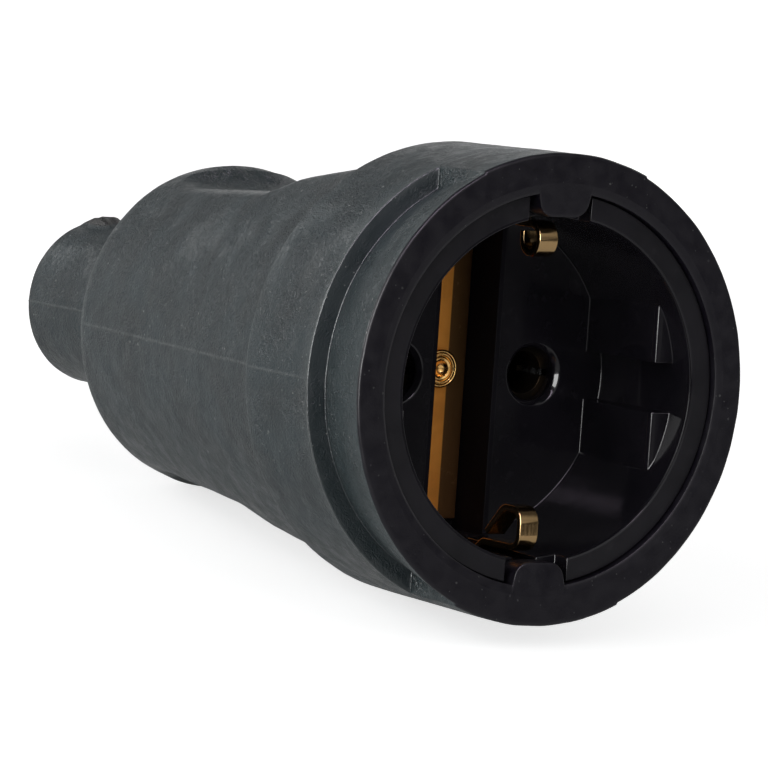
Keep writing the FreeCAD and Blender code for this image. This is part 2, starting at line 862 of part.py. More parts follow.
def earth_rivet():
    """Brass rivet that clamps the strip and the earth terminal to the insert."""
    foot_back = earth_recess_floor + s.earth_foot_thickness
    head_top = strip_face - s.rivet_head_height
    body = new_body("earth_rivet")
    turn(
        body,
        "rivet",
        [
            (head_top, s.rivet_dimple_radius),
            (head_top, s.rivet_head_radius - s.rivet_edge),
            (head_top + s.rivet_edge, s.rivet_head_radius),
            (strip_face, s.rivet_head_radius),
            (strip_face, s.rivet_shank_radius),
            (foot_back, s.rivet_shank_radius),
            (foot_back, s.rivet_flare_radius),
            (foot_back + s.rivet_flare_height, s.rivet_flare_radius - s.rivet_edge),
            (foot_back + s.rivet_flare_height, 0),
            (head_top + s.rivet_dimple_depth, 0),
        ],
    )
    settle(body)


def earth_terminal():
    """Brass terminal: a foot under the rivet and a block with the wire hole and screw."""
    body = new_body("earth_terminal")
    half = s.earth_foot_half_width
    foot_back = earth_recess_floor + s.earth_foot_thickness
    foot = rectangle(-half, -s.earth_foot_bottom, half, s.earth_block_top)
    along_axis(body, "foot", [foot], earth_recess_floor, s.earth_foot_thickness)
    block = rectangle(-half, s.earth_block_bottom, half, s.earth_block_top)
    along_axis(body, "block", [block], foot_back, s.earth_block_end - foot_back)
    hole = [circle(0, 0, s.rivet_shank_radius + s.thread_gap)]
    along_axis(body, "rivet_hole", hole, earth_recess_floor, s.earth_foot_thickness, cuts=True)
    wire = [circle(0, s.earth_wire_height, s.wire_hole_radius)]
    along_axis(
        body, "wire_hole", wire, s.earth_block_end - s.wire_hole_depth, s.wire_hole_depth, True
    )
    tapped = [circle(0, s.earth_screw_place, s.terminal_screw_radius + s.thread_gap)]
    upwards(
        body,
        "tapped_hole",
        tapped,
        s.earth_wire_height,
        s.earth_block_top - s.earth_wire_height,
        cuts=True,
    )
    settle(body)


def cheese_screw(name, radius, head_radius, head_height, length, place):
    """Slotted screw, drawn with the underside of its head at its own origin."""
    body = new_body(name)
    turn(
        body,
        "screw",
        [
            (0, -length),
            (radius - s.screw_tip, -length),
            (radius, s.screw_tip - length),
            (radius, 0),
            (head_radius, 0),
            (head_radius, head_height - s.screw_edge),
            (head_radius - s.screw_edge, head_height),
            (0, head_height),
        ],
        axis="V_Axis",
    )
    half, reach = s.screw_slot_width / 2, head_radius + s.overrun
    slot = [rectangle(-half, -reach, half, reach)]
    upwards(body, "slot", slot, head_height - s.screw_slot_depth, s.screw_slot_depth, cuts=True)
    settle(body, *place)


def washer(name, place):
    body = new_body(name)
    hole = s.terminal_screw_radius + s.hole_gap
    outlines = [circle(0, 0, s.washer_radius), circle(0, 0, hole)]
    upwards(body, "ring", outlines, 0, s.washer_thickness)
    settle(body, *place)


def line_contact(name, side):
    """Turned brass pin contact: slit sleeve, collar, and terminal block with its holes."""
    body = new_body(name)
    front = chamber_front + s.contact_front_gap
    collar_back = s.insert_rear - s.contact_front_gap / 2
    collar_front = collar_back - s.contact_collar_thickness
    turn(
        body,
        "sleeve",
        [
            (front, s.contact_bore_radius),
            (front, contact_radius),
            (collar_front, contact_radius),
            (collar_front, s.contact_collar_radius),
            (collar_back, s.contact_collar_radius),
            (collar_back, contact_radius),
            (line_block_start + s.overrun, contact_radius),
            (line_block_start + s.overrun, 0),
            (line_block_start, 0),
            (line_block_start, s.contact_bore_radius),
        ],
    )
    wide, high = s.terminal_block_half_width, s.terminal_block_half_height
    along_axis(
        body,
        "block",
        [rectangle(-wide, -high, wide, high)],
        line_block_start,
        s.terminal_block_length,
    )
    reach, half = contact_radius + s.overrun, s.contact_slit / 2
    slit_length = collar_front - s.contact_slit_land - front
    along_axis(
        body, "slit", [rectangle(-reach, -half, reach, half)], front, slit_length, cuts=True
    )
    wire = [circle(0, 0, s.wire_hole_radius)]
    along_axis(
        body, "wire_hole", wire, line_block_end - s.wire_hole_depth, s.wire_hole_depth, True
    )
    tapped = [circle(0, line_screw_place, s.terminal_screw_radius + s.thread_gap)]
    upwards(body, "tapped_hole", tapped, 0, high, cuts=True)
    settle(body, across=side * half_pins)


def contact_spring(name, side):
    """Open steel ring that presses the two halves of a slit sleeve together."""
    inner = float(contact_radius + s.thread_gap)
    outer = inner + float(s.spring_thickness)
    base = FreeCAD.Vector(0, float(s.spring_place), 0)
    axis = FreeCAD.Vector(0, 1, 0)
    width = float(s.spring_width)
    around = 360 - float(s.spring_opening)
    ring = Part.makeCylinder(outer, width, base, axis, around)
    ring = ring.cut(Part.makeCylinder(inner, width, base, axis))
    ring.rotate(base, axis, float(s.spring_opening) / 2)
    spring = doc.addObject("Part::Feature", name)
    spring.Shape = ring
    settle(spring, across=side * half_pins)


def contact_cover():
    """Plastic cover screwed behind the insert, with the tongue that carries the cord grip."""
    body = new_body("contact_cover")
    wide = s.chamber_half_width - s.cover_side_gap
    high = s.chamber_half_height - s.cover_side_gap
    along_axis(body, "plate", [rectangle(-wide, -high, wide, high)], s.insert_rear,
               s.cover_thickness)
    corners = [(i * wide, k * high) for i in (1, -1) for k in (1, -1)]
    dress_edges(
        body,
        "plate_corners",
        lambda edge: any(runs_along(edge, *place) for place in corners),
        s.chamber_corner - s.cover_side_gap,
    )
    tongue_side = s.tongue_half_width
    tongue = rectangle(-tongue_side, -s.tongue_bottom, tongue_side, -tongue_top)
    along_axis(body, "tongue", [tongue], cover_back, s.tongue_end - cover_back)
    pad = rectangle(-s.grip_pad_half_width, -s.tongue_bottom, s.grip_pad_half_width, -tongue_top)
    pad_start = s.grip_place - s.grip_pad_half_length
    along_axis(body, "grip_pad", [pad], pad_start, s.grip_pad_half_length * 2)
    saddle_side, saddle_crown = s.grip_saddle_half_width, s.grip_saddle_crown
    saddle_top = -s.grip_saddle_height
    saddle_shoulder = saddle_top - s.grip_saddle_slope
    saddle = polygon(
        (-saddle_side, -tongue_top),
        (saddle_side, -tongue_top),
        (saddle_side, saddle_shoulder),
        (saddle_crown, saddle_top),
        (-saddle_crown, saddle_top),
        (-saddle_side, saddle_shoulder),
    )
    saddle_start = s.grip_place - s.grip_half_length
    along_axis(body, "saddle", [saddle], saddle_start, s.grip_half_length * 2)
    posts = [circle(k * s.grip_screw_across, s.grip_place, s.grip_post_radius) for k in (1, -1)]
    upwards(body, "posts", posts, -tongue_top, tongue_top - s.grip_post_top)
    sleeves = [circle(k * half_pins, 0, contact_radius + s.hole_gap) for k in (1, -1)]
    along_axis(body, "contact_holes", sleeves, s.insert_rear, s.cover_thickness, cuts=True)
    gap = s.cover_opening_gap
    opening = rectangle(
        -s.earth_foot_half_width - gap,
        -s.earth_foot_bottom,
        s.earth_foot_half_width + gap,
        s.earth_block_top + gap,
    )
    along_axis(body, "earth_opening", [opening], s.insert_rear, s.cover_thickness, cuts=True)
    clear = s.cover_screw_radius + s.hole_gap
    screws = [circle(k * s.cover_screw_across, k * s.cover_screw_up, clear) for k in (1, -1)]
    along_axis(body, "cover_screw_holes", screws, s.insert_rear, s.cover_thickness, cuts=True)
    clear = s.grip_screw_radius + s.hole_gap
    holes = [circle(k * s.grip_screw_across, s.grip_place, clear) for k in (1, -1)]
    upwards(
        body, "grip_screw_holes", holes, -s.tongue_bottom, s.tongue_bottom - s.grip_post_top, True
    )
    half = s.nut_width / 2 + s.nut_gap
    pockets = [
        rectangle(
            k * s.grip_screw_across - half,
            s.grip_place - half,
            k * s.grip_screw_across + half,
            s.grip_place + half,
        )
        for k in (1, -1)
    ]
    depth = s.nut_thickness + s.nut_gap
    upwards(body, "nut_pockets", pockets, -s.tongue_bottom, depth, cuts=True)
    settle(body)


def cover_screw(name, side):
    """Screw through the cover into the insert, its head on the cover's rear face."""
    body = new_body(name)
    head_top = cover_back + s.cover_screw_head_height
    tip = cover_back - s.cover_screw_length
    turn(
        body,
        "screw",
        [
            (tip, 0),
            (tip, s.cover_screw_tip_radius),
            (tip + s.cover_screw_radius, s.cover_screw_radius),
            (cover_back, s.cover_screw_radius),
            (cover_back, s.cover_screw_head_radius),
            (head_top - s.cover_screw_dome_height, s.cover_screw_head_radius),
            (head_top, s.cover_screw_head_radius - s.cover_screw_dome_inset),
            (head_top, 0),
        ],
    )
    long, half = s.cross_recess_reach, s.screw_slot_width / 2
    start = head_top - s.screw_slot_depth
    cross = polygon(
        (-long, -half), (-half, -half), (-half, -long), (half, -long), (half, -half),
        (long, -half), (long, half), (half, half), (half, long), (-half, long),
        (-half, half), (-long, half),
    )
    along_axis(body, "cross_recess", [cross], start, s.screw_slot_depth, cuts=True)
    settle(body, side * s.cover_screw_across, 0, side * s.cover_screw_up)


def cord_grip_bridge():
    """Plastic bridge that the two grip screws pull down on the cord."""
    body = new_body("cord_grip_bridge")
    foot = -s.grip_post_top + s.bridge_gap
    top = foot + s.bridge_foot_thickness
    side, span, crown = s.grip_pad_half_width, s.bridge_span, s.bridge_crown
    knee, rise, wall = s.bridge_knee, s.bridge_rise, s.bridge_wall
    # A third and a half of the wall keep the sloping parts of the arch as thick as the rest
    outer_crown, outer_knee = crown + wall / 3, knee + wall / 2
    outline = polygon(
        (-side, foot),
        (-span, foot),
        (-span, knee),
        (-crown, rise),
        (crown, rise),
        (span, knee),
        (span, foot),
        (side, foot),
        (side, top),
        (span + wall, top),
        (span + wall, outer_knee),
        (outer_crown, rise + wall),
        (-outer_crown, rise + wall),
        (-span - wall, outer_knee),
        (-span - wall, top),
        (-side, top),
    )
    start = s.grip_place - s.grip_half_length
    along_axis(body, "arch", [outline], start, s.grip_half_length * 2)
    clear = s.grip_screw_radius + s.hole_gap
    holes = [circle(k * s.grip_screw_across, s.grip_place, clear) for k in (1, -1)]
    upwards(body, "screw_holes", holes, foot, s.bridge_foot_thickness, cuts=True)
    settle(body)


def grip_nut(name, side):
    body = new_body(name)
    half = s.nut_width / 2
    outlines = [rectangle(-half, -half, half, half),
                circle(0, 0, s.grip_screw_radius + s.thread_gap)]
    upwards(body, "nut", outlines, 0, s.nut_thickness)
    settle(body, side * s.grip_screw_across, s.grip_place, s.nut_gap - s.tongue_bottom)


rubber_housing()
socket_insert()
contact_cover()
earth_strip()
earth_rivet()
earth_terminal()
washer_place = (0, s.earth_screw_place, s.earth_block_top)
washer("earth_clamp_washer", washer_place)
earth_head = s.earth_block_top + s.washer_thickness
cheese_screw(
    "earth_terminal_screw",
    s.terminal_screw_radius,
    s.terminal_screw_head_radius,
    s.terminal_screw_head_height,
    s.washer_thickness + s.earth_block_top - s.earth_wire_height,
    (0, s.earth_screw_place, earth_head),
)
bridge_top = s.bridge_gap - s.grip_post_top + s.bridge_foot_thickness
for side_name, side in (("left", -1), ("right", 1)):
    line_contact("line_contact_" + side_name, side)
    contact_spring("contact_spring_" + side_name, side)
    cheese_screw(
        "line_terminal_screw_" + side_name,
        s.terminal_screw_radius,
        s.terminal_screw_head_radius,
        s.terminal_screw_head_height,
        s.terminal_block_half_height + s.terminal_screw_standoff - s.hole_gap,
        (side * half_pins, line_screw_place, s.terminal_block_half_height
         + s.terminal_screw_standoff),
    )
    cover_screw("cover_screw_" + side_name, side)
    cheese_screw(
        "cord_grip_screw_" + side_name,
        s.grip_screw_radius,
        s.grip_screw_head_radius,
        s.grip_screw_head_height,
        bridge_top + s.tongue_bottom - s.nut_gap,
        (side * s.grip_screw_across, s.grip_place, bridge_top),
    )
    grip_nut("cord_grip_nut_" + side_name, side)
cord_grip_bridge()

doc.recompute()
for item in doc.Objects:
    if "Invalid" in item.State or "Error" in item.State:
        raise ValueError("%s is %s" % (item.Name, item.State))
for item in sub_parts:
    if item.Shape.isNull() or not item.Shape.isValid() or len(item.Shape.Solids) != 1:
        raise ValueError("%s is not one sound solid" % item.Label)
os.makedirs("parts", exist_ok=True)
for item in sub_parts:
    item.Shape.exportStep(os.path.join("parts", item.Label + ".step"))
    print("%s %.1f mm3" % (item.Label, item.Shape.Volume))
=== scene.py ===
import bmesh
import bpy
import math
import numpy as np
from mathutils import Matrix, Vector, noise


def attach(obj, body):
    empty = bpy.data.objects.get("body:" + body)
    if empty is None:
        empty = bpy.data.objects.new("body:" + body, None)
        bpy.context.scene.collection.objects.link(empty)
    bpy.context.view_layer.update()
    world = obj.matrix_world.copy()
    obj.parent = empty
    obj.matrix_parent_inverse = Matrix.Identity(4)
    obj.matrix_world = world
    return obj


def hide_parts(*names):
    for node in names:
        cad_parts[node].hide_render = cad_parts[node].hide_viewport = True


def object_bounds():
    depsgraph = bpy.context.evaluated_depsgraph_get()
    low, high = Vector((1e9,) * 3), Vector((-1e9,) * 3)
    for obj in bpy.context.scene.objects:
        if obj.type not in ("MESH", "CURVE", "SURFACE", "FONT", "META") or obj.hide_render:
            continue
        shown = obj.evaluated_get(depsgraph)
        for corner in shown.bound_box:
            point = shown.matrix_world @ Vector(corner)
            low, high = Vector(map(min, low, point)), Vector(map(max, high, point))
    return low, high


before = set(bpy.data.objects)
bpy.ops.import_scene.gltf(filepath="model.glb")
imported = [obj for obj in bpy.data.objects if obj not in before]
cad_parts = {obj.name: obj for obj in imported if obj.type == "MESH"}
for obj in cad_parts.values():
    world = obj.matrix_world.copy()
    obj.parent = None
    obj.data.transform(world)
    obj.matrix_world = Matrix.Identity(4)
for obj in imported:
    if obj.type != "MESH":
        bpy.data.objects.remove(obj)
cad_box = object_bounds()

# Rubber shell: one moulding of black rubber with a collar round the socket, a tapered body with
# a thumb scoop above and below, a hollow tail for a cord, and two lugs in its mouth that key the
# insert. It lies on the rear rims of its collar and its body, so its axis dips towards the tail.
COLLAR_FRONT, COLLAR_REAR, COLLAR_END = 27.1, 26.5, 24.0
CONE_FRONT, BODY_REAR, BODY_END = 25.3, 19.3, 73.3
TAIL_ROOT, TAIL_END, SHELL_END = 10.4, 10.1, 101.6
GRIP_END, GRIP_FLOOR, GRIP_STEP, PAD_HALF_WIDTH = 9.7, 24.5, 0.16, 11.1
FACE_INNER, FACE_HALF_HEIGHT, RELIEF_INNER, RELIEF_DEPTH = 25.4, 26.3, 23.6, 0.16
MOUTH, LUG_TIP, LUG_HALF_WIDTH, LUG_CORNER = 22.55, 19.7, 3.4, 2.0
GROOVE, GROOVE_START, GROOVE_END = 23.45, 3.25, 6.55
POCKET, POCKET_END = 21.75, 28.3
CHAMBER_HALF_WIDTH, CHAMBER_HALF_HEIGHT, CHAMBER_CORNER, CHAMBER_END = 14.6, 13.4, 6.0, 62.0
BORE, BORE_START, END_FACE_MIDDLE = 5.5, 71.0, 8.0
NUB_START, NUB_END, NUB_MIDDLE, NUB_HALF_WIDTH = 95.6, 101.3, -1.7, 1.5
DENT, DENT_DEPTH, DENT_RADIUS = (-16.6, 24.6, 20.8), 1.5, 0.95
PARTING_HEIGHT, PARTING_HALF_WIDTH = 0.05, 0.14
SWELL, RIPPLE, SKIN_INSET = 0.05, 0.012, 0.08
dip = math.atan((COLLAR_REAR - BODY_REAR) / (BODY_END - COLLAR_END))
laid = Matrix.Rotation(-dip, 4, "X") @ Matrix.Scale(0.001, 4)


def rounded(corners, steps=5):
    """An outline through (along, radius, rounding) corners, with an arc at each rounded one."""
    points = [Vector(corners[0][:2])]
    for before, corner, after in zip(corners, corners[1:], corners[2:]):
        middle = Vector(corner[:2])
        towards = (Vector(before[:2]) - middle).normalized()
        away = (Vector(after[:2]) - middle).normalized()
        if corner[2] == 0:
            points.append(middle)
            continue
        half = towards.angle(away) / 2
        centre = middle + (towards + away).normalized() * (corner[2] / math.sin(half))
        first = middle + towards * (corner[2] / math.tan(half)) - centre
        last = middle + away * (corner[2] / math.tan(half)) - centre
        for step in range(steps + 1):
            outward = first.slerp(last, step / steps).normalized()
            points.append(centre + outward * corner[2])
    return points + [Vector(corners[-1][:2])]


def divided(points, longest):
    """The same outline with extra points, so that no run is longer than the function allows."""
    fine = []
    for start, end in zip(points, points[1:]):
        pieces = max(1, math.ceil((end - start).length / longest((start + end) / 2)))
        fine += [start.lerp(end, step / pieces) for step in range(pieces)]
    return fine


def outside_spacing(point):
    """Longest step on the outside: short at the face, the scoops' rear walls and the nub."""
    along = point.x
    if 65.0 < along < 71.5 or along < 0.3:
        return 0.35
    if 93.0 < along:
        return 0.5
    return 2.2 if along > 74.0 or along < COLLAR_END - 1 else 1.0


outside = divided(
    rounded([
        (SHELL_END, END_FACE_MIDDLE, 0), (SHELL_END, TAIL_END, 0.5),
        (BODY_END, TAIL_ROOT, 0.7), (BODY_END, BODY_REAR, 0.8),
        (COLLAR_END, CONE_FRONT, 0.5), (COLLAR_END, COLLAR_REAR, 0.7),
        (GRIP_END + 0.4, COLLAR_REAR + 0.35, 0), (GRIP_END, COLLAR_REAR + 0.36, 0),
        (GRIP_END - 0.6, COLLAR_REAR + 0.38, 0), (0, COLLAR_FRONT, 0.4), (0, FACE_INNER, 0),
    ]),
    lambda point: 0.06 if abs(point.x - GRIP_END) < 0.4 else outside_spacing(point),
)
face = divided(
    rounded([(0, FACE_INNER, 0), (0, RELIEF_INNER, 0.3), (RELIEF_DEPTH, MOUTH, 0.15),
             (GROOVE_START, MOUTH, 0)]),
    lambda point: 0.6,
)
seat = [(GROOVE_START, GROOVE), (GROOVE_END, GROOVE), (GROOVE_END, POCKET), (POCKET_END, POCKET)]
cable_way = rounded([
    (CHAMBER_END, 12.0, 0), (BORE_START, BORE, 1.0), (SHELL_END, BORE, 0.4),
    (SHELL_END, END_FACE_MIDDLE, 0),
])

# The columns stand closer where the scoops, pads, lugs and the parting line need them
turns = [0.0]
while turns[-1] < 90.0:
    at = turns[-1]
    close = at < 1.5 or 62.5 <= at < 66.5 or 79.5 <= at < 82
    turns.append(at + (0.25 if close else 0.65 if at > 50 else 1.5))
turns[-1] = 90.0
quarter = np.radians(turns)
angles = np.concatenate([quarter, np.pi - quarter[-2::-1], np.pi + quarter[1:],
                         2 * np.pi - quarter[-2:0:-1]])

# Height of the scoops' floor over the axis: a ramp from the collar, the floor, a steep rear wall
FINE_STEP, SCOOP_BLUR = 0.05, 0.45
fine_along = np.arange(0.0, 110.0, FINE_STEP)
scoop_knots = [(0, 45.0), (24.0, 23.9), (38.0, 20.9), (42.5, 18.5), (66.0, 17.1), (68.4, 17.8),
               (69.8, 19.1), (70.5, 21.1), (71.5, 26.0), (110.0, 60.0)]
blur = np.exp(-0.5 * (np.arange(-40, 41) * FINE_STEP / SCOOP_BLUR) ** 2)
scoop_height = np.convolve(
    np.interp(fine_along, *zip(*scoop_knots)), blur / blur.sum(), mode="same"
)


def softer_min(first, second, soft):
    """The smaller of two values, with a rounded corner where they cross."""
    near = np.maximum(soft - np.abs(first - second), 0) / soft
    return np.minimum(first, second) - near * near * soft / 4


def outer_radii(along, radius):
    """Radius at every column, with scoops, side grips, parting line and the nub of the gate."""
    up, side = np.abs(np.sin(angles)), np.maximum(np.abs(np.cos(angles)), 1e-6)
    height = np.interp(along, fine_along, scoop_height)
    full = COLLAR_FRONT - (COLLAR_FRONT - COLLAR_REAR) * along / COLLAR_END
    reach = min(along / GRIP_END, 1.0)
    oval = COLLAR_FRONT * FACE_HALF_HEIGHT / np.hypot(
        COLLAR_FRONT * np.cos(angles), FACE_HALF_HEIGHT * np.sin(angles)
    )
    hollow = oval * (1 - reach) + GRIP_FLOOR * reach
    hollow = -softer_min(-hollow, -PAD_HALF_WIDTH / side, 0.25)
    share = np.clip((GRIP_END + GRIP_STEP / 2 - along) / GRIP_STEP, 0, 1)
    share = share * share * (3 - 2 * share) * np.clip((radius - FACE_INNER) / 1.1, 0, 1)
    shrink = np.minimum(softer_min(hollow, np.full_like(side, full), 0.2) / full, 1)
    radii = radius * (1 + share * (shrink - 1))
    if COLLAR_END + 0.05 < along < BODY_END - 1:
        radii = softer_min(radii, height / np.maximum(up, 1e-6), 0.9)
    if along > GRIP_END + 0.4 and radius > 9:
        from_parting = radii * np.sin(angles) / PARTING_HALF_WIDTH
        radii = radii + PARTING_HEIGHT * np.exp(-(from_parting ** 2))
    nub = np.clip((along - NUB_START) / 0.9, 0, 1) * np.clip((NUB_END - along) / 0.7, 0, 1)
    across = (radii * np.cos(angles) - NUB_MIDDLE) / NUB_HALF_WIDTH
    return radii + (np.sin(angles) > 0) * (radius > 9.5) * nub * np.exp(-across ** 4)


def mouth_radii():
    """Radius of the mouth at every column, which is less where a lug reaches in."""
    up, side = np.maximum(np.abs(np.sin(angles)), 1e-6), np.abs(np.cos(angles))
    tip = LUG_TIP / up
    # A few rounds settle it, because how far the corner is rounded off depends on the radius
    for _ in range(8):
        past = np.clip((tip * side - LUG_HALF_WIDTH + LUG_CORNER) / LUG_CORNER, 0, 1)
        tip = (LUG_TIP + LUG_CORNER * (1 - np.sqrt(1 - past * past))) / up
    return np.where(tip * side < LUG_HALF_WIDTH - 0.02, np.minimum(tip, MOUTH), MOUTH)


def face_radii(radius):
    """Radius at every column of a ring of the flat face, drawn in towards the lugs."""
    share = min((radius - MOUTH) / 0.9, 1.0)
    return mouth_radii() * (1 - share) + radius * share


def chamber_radii():
    """Radius at every column of the rounded rectangular chamber behind the insert."""
    cos, sin = np.abs(np.cos(angles)), np.abs(np.sin(angles))
    flat = np.minimum(CHAMBER_HALF_WIDTH / np.maximum(cos, 1e-6),
                      CHAMBER_HALF_HEIGHT / np.maximum(sin, 1e-6))
    centre_x, centre_z = CHAMBER_HALF_WIDTH - CHAMBER_CORNER, CHAMBER_HALF_HEIGHT - CHAMBER_CORNER
    along_corner = cos * centre_x + sin * centre_z
    power = centre_x ** 2 + centre_z ** 2 - CHAMBER_CORNER ** 2
    inside = np.maximum(along_corner ** 2 - power, 0)
    in_corner = (flat * cos > centre_x) & (flat * sin > centre_z)
    return np.where(in_corner, along_corner + np.sqrt(inside), flat)


rings = [(point.x, outer_radii(point.x, point.y)) for point in outside]
rings += [(point.x, face_radii(point.y)) for point in face[1:]]
rings += [(GROOVE_START, mouth_radii())]
rings += [(along, np.full_like(angles, radius)) for along, radius in seat]
rings += [(POCKET_END, chamber_radii()), (CHAMBER_END, chamber_radii())]
rings += [(point.x, np.full_like(angles, point.y)) for point in cable_way[:-1]]
places = np.array([
    np.column_stack([radii * np.cos(angles), np.full_like(angles, along), radii * np.sin(angles)])
    for along, radii in rings
])
from_dent = np.linalg.norm(places - np.array(DENT), axis=2)
places[:, :, 2] -= DENT_DEPTH * np.exp(-((from_dent / DENT_RADIUS) ** 2))

count, columns = places.shape[:2]
faces = [
    (ring * columns + column, ring * columns + (column + 1) % columns,
     (ring + 1) % count * columns + (column + 1) % columns, (ring + 1) % count * columns + column)
    for ring in range(count) for column in range(columns)
]
shell_mesh = bpy.data.meshes.new("rubber_shell")
shell_mesh.from_pydata(places.reshape(-1, 3).tolist(), [], faces)
for vertex in shell_mesh.vertices[:len(outside) * columns]:
    ripple = noise.noise(vertex.co * 0.35) * SWELL + noise.noise(vertex.co * 1.3) * RIPPLE
    ripple -= SKIN_INSET
    reach = math.hypot(vertex.co.x, vertex.co.z)
    if vertex.co.y > 93 and vertex.co.z > TAIL_END + 0.1:
        ripple += noise.noise(vertex.co * 1.1) * 0.45 - 0.12
    vertex.co.x *= 1 + ripple / reach
    vertex.co.z *= 1 + ripple / reach


def paleness():
    """Paleness at each point of the shell: pale rubber along the parting line, wear along the
    rims, and a painted highlight on the rims and the grip's step edge.
    """
    x, y, z = places[:, :, 0], places[:, :, 1], places[:, :, 2]
    reach = np.hypot(x, z)
    collar_rim = np.exp(-(((y - COLLAR_END - 0.1) ** 2 + (reach - COLLAR_REAR + 0.2) ** 2) / 0.3))
    body_rim = np.exp(-(((y - BODY_END + 0.2) ** 2 + (reach - BODY_REAR + 0.2) ** 2) / 0.3))
    parting = 0.42 * np.exp(-((z / 0.15) ** 2)) * (y > 10.2) * (reach > 9)
    cone = CONE_FRONT + (BODY_REAR - CONE_FRONT) * (y - COLLAR_END) / (BODY_END - COLLAR_END)
    height = np.interp(y, fine_along, scoop_height)
    rim = np.exp(-(((cone - height / np.maximum(np.abs(z) / reach, 1e-6)) / 0.3) ** 2))
    rim = 0.25 * rim * (y > 36) * np.clip((64 - y) / 5, 0, 1) * (np.abs(z) > 10) * (reach > 12)
    step = np.exp(-(((y - GRIP_END - 0.25) / 0.14) ** 2)) * (reach > 26) * (np.abs(x) > 11)
    brim = 0.35 * np.exp(-((y ** 2 + (reach - COLLAR_FRONT + 0.1) ** 2) / 0.2))
    return np.max([collar_rim, body_rim, parting, rim, 0.6 * step, brim], axis=0)


wear_and_highlight = shell_mesh.attributes.new("wear_and_highlight", "FLOAT", "POINT")
wear_and_highlight.data.foreach_set("value", paleness().reshape(-1).astype(np.float32))


def linked(name, data):
    """A new object that holds the given data, in the scene."""
    item = bpy.data.objects.new(name, data)
    bpy.context.scene.collection.objects.link(item)
    return item


def shaded_piece(mesh, name, keep_sharp=False):
    """A finished mesh as an object, shaded smoothly with its flat faces kept flat."""
    mesh.shade_smooth()
    piece = linked(name, mesh)
    weigh = piece.modifiers.new("even_shading", "WEIGHTED_NORMAL")
    weigh.weight = 80
    weigh.keep_sharp = keep_sharp
    return piece


def smooth_piece(mesh, name):
    """Lay a mesh that was drawn level in its place, with its normals outward, and shade it."""
    mesh.transform(laid)
    work = bmesh.new()
    work.from_mesh(mesh)
    bmesh.ops.recalc_face_normals(work, faces=work.faces)
    work.to_mesh(mesh)
    work.free()
    return shaded_piece(mesh, name, True)


shell = smooth_piece(shell_mesh, "rubber_shell")


def finish_of(name, **sockets):
    """A new material with its shader's plain values set, and its node tree."""
    material = bpy.data.materials.new(name)
    material.use_nodes = True
    shader = material.node_tree.nodes["Principled BSDF"]
    for socket, value in sockets.items():
        shader.inputs[socket.replace("_", " ")].default_value = value
    return material, material.node_tree, shader


def add(tree, kind, links=(), **values):
    """One more node: properties by keyword, then (socket, source or value) pairs."""
    item = tree.nodes.new(kind)
    for word, value in values.items():
        setattr(item, word, value)
    for socket, source in links:
        if isinstance(source, bpy.types.NodeSocket):
            tree.links.new(source, item.inputs[socket])
        else:
            item.inputs[socket].default_value = source
    return item


def level_place(tree, scale=(1000, 1000, 1000)):
    """The point on the piece in millimetres, as it was drawn level."""
    at = add(tree, "ShaderNodeTexCoord")
    return add(tree, "ShaderNodeMapping", [
        ("Vector", at.outputs["Object"]), ("Rotation", (dip, 0, 0)), ("Scale", scale),
    ]).outputs["Vector"]


def grain(tree, place, scale, detail=2.0, distortion=0.0):
    """Soft random cloud or grain between 0 and 1: a larger scale makes it finer."""
    return add(tree, "ShaderNodeTexNoise", [
        ("Vector", place), ("Scale", scale), ("Detail", detail), ("Distortion", distortion),
    ]).outputs["Fac"]


def spread(tree, value, low, high, to_low=0.0, to_high=1.0):
    """Map one range of a value to another, smoothly and within its ends."""
    return add(tree, "ShaderNodeMapRange", [
        ("Value", value), ("From Min", low), ("From Max", high),
        ("To Min", to_low), ("To Max", to_high),
    ], interpolation_type="SMOOTHSTEP").outputs["Result"]


def blended(tree, factor, first, second):
    """The first colour turning into the second one as the factor goes from 0 to 1."""
    return add(tree, "ShaderNodeMix", [(0, factor), (6, first), (7, second)],
               data_type="RGBA").outputs[2]


def maths(tree, operation, first, second):
    return add(tree, "ShaderNodeMath", [(0, first), (1, second)], operation=operation).outputs[0]


def off_axis(tree, place):
    """How far the point is from the connector's axis."""
    flat = add(tree, "ShaderNodeVectorMath", [(0, place), (1, (1, 0, 1))], operation="MULTIPLY")
    reach = add(tree, "ShaderNodeVectorMath", [(0, flat.outputs[0])], operation="LENGTH")
    return reach.outputs["Value"]


def distance_from(tree, place, point):
    return add(tree, "ShaderNodeVectorMath", [(0, place), (1, point)],
               operation="DISTANCE").outputs["Value"]


def raise_surface(tree, shader, height, distance, strength):
    """Fine relief on the shader's surface: a height of 1 stands one distance, in metres, high."""
    bump = add(tree, "ShaderNodeBump", [
        ("Height", height), ("Distance", distance), ("Strength", strength),
    ])
    tree.links.new(bump.outputs["Normal"], shader.inputs["Normal"])


rubber, tree, shader = finish_of("moulded_rubber")
place = level_place(tree)
along = add(tree, "ShaderNodeSeparateXYZ", [("Vector", place)])
at_face = spread(tree, along.outputs["Y"], 0.15, 0.6, 1.0, 0.0)
reach = off_axis(tree, place)
in_mouth = maths(tree, "MULTIPLY", spread(tree, reach, 23.0, 23.4, 1.0, 0.0),
                 spread(tree, along.outputs["Y"], 8.0, 10.0, 1.0, 0.0))
at_face = maths(tree, "MAXIMUM", at_face, in_mouth)
bloom = spread(tree, grain(tree, place, 0.16, 4.0), 0.3, 0.7)
colour = blended(tree, bloom, (0.009, 0.018, 0.021, 1), (0.016, 0.030, 0.035, 1))
smudge = spread(tree, grain(tree, place, 0.9, 4.0), 0.5, 0.8, 0.0, 0.5)
colour = blended(tree, smudge, colour, (0.042, 0.055, 0.058, 1))
# Painted light: the wall of the grip's step is coloured lighter than the rubber round it, to lift
# it out of its shade.
in_step = maths(tree, "MULTIPLY", spread(tree, along.outputs["Y"], 9.35, 9.6),
                spread(tree, along.outputs["Y"], 9.8, 9.9, 1.0, 0.0))
